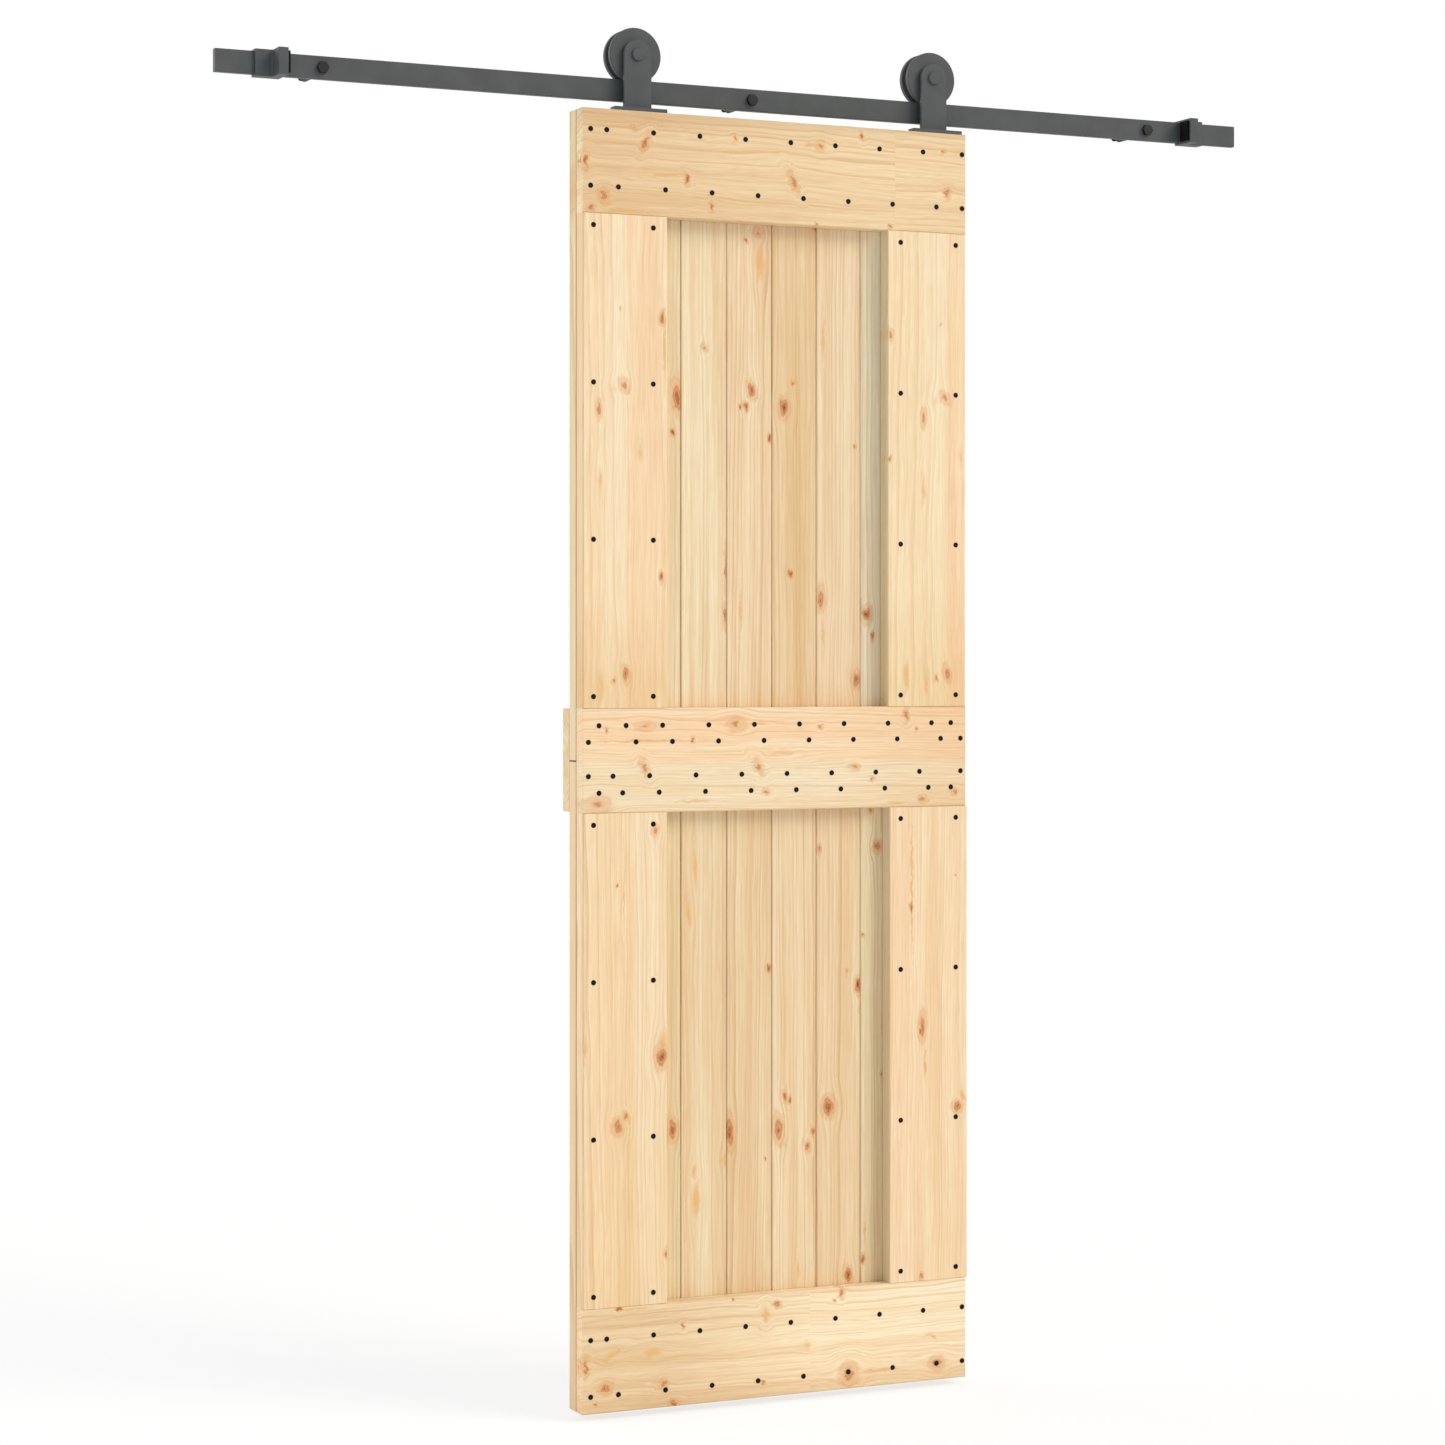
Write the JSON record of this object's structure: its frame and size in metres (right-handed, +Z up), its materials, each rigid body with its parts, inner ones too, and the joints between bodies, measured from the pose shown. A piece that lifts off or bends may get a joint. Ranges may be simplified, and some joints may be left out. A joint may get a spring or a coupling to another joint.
{
  "type": "sliding barn door",
  "caption": "Ledged barn door of knotty pine boards that slides on grooved rollers along a flat steel wall rail with end stops.",
  "frame": {"origin": "where the axis of the middle wall bolt meets the wall", "axes": "+X right along the rail, +Y into the wall, +Z up"},
  "size_m": [1.8605, 0.146, 2.2392],
  "materials": {
    "pine_boards": "raw planed",
    "pine_frame": "raw planed",
    "nails": "dark oxide",
    "powder_coat": "fine matt powder coat",
    "black_steel": "black oxide",
    "zinc": "zinc plated",
    "rubber": "matt"
  },
  "bodies": {
    "track": {"rail": "powder_coat", "left_wall_bolt": "black_steel", "middle_wall_bolt": "black_steel", "right_wall_bolt": "black_steel", "left_wall_spacer": "black_steel", "middle_wall_spacer": "black_steel", "right_wall_spacer": "black_steel", "left_stop": "powder_coat", "right_stop": "powder_coat", "left_stop_pad": "rubber", "right_stop_pad": "rubber", "stop_set_screws": "black_steel"},
    "leaf": {"board_1": "pine_boards", "board_2": "pine_boards", "board_3": "pine_boards", "board_4": "pine_boards", "board_5": "pine_boards", "board_6": "pine_boards", "board_7": "pine_boards", "board_8": "pine_boards", "top_rail": "pine_frame", "middle_rail": "pine_frame", "bottom_rail": "pine_frame", "upper_left_stile": "pine_frame", "upper_right_stile": "pine_frame", "lower_left_stile": "pine_frame", "lower_right_stile": "pine_frame", "back_batten": "pine_frame", "top_rail_nails": "nails", "middle_rail_nails": "nails", "bottom_rail_nails": "nails", "stile_nails": "nails", "left_hanger": "powder_coat", "right_hanger": "powder_coat", "hanger_screws": "black_steel", "left_axle_bolt": "powder_coat", "right_axle_bolt": "powder_coat", "left_front_spacer": "zinc", "left_rear_spacer": "zinc", "left_axle_nut": "zinc", "right_front_spacer": "zinc", "right_rear_spacer": "zinc", "right_axle_nut": "zinc"},
    "left_roller": {"left_wheel": "powder_coat", "left_bearing": "zinc"},
    "right_roller": {"right_wheel": "powder_coat", "right_bearing": "zinc"}
  },
  "joints": [
    {"name": "door_slide", "type": "slide", "parent": "track", "child": "leaf", "axis": [1, 0, 0], "range_m": [-0.5666, 0.4706]},
    {"name": "left_roller_spin", "type": "hinge", "parent": "leaf", "child": "left_roller", "pos_m": [-0.2131, -0.086, 0.0568], "axis": [0, 1, 0], "range_deg": [-860, 715]},
    {"name": "right_roller_spin", "type": "hinge", "parent": "leaf", "child": "right_roller", "pos_m": [0.3321, -0.086, 0.0568], "axis": [0, 1, 0], "range_deg": [-860, 715]}
  ],
  "couplings": [
    {"joint": "left_roller_spin", "follows": "door_slide", "rad_per_m": 25.974},
    {"joint": "right_roller_spin", "follows": "door_slide", "rad_per_m": 25.974}
  ]
}
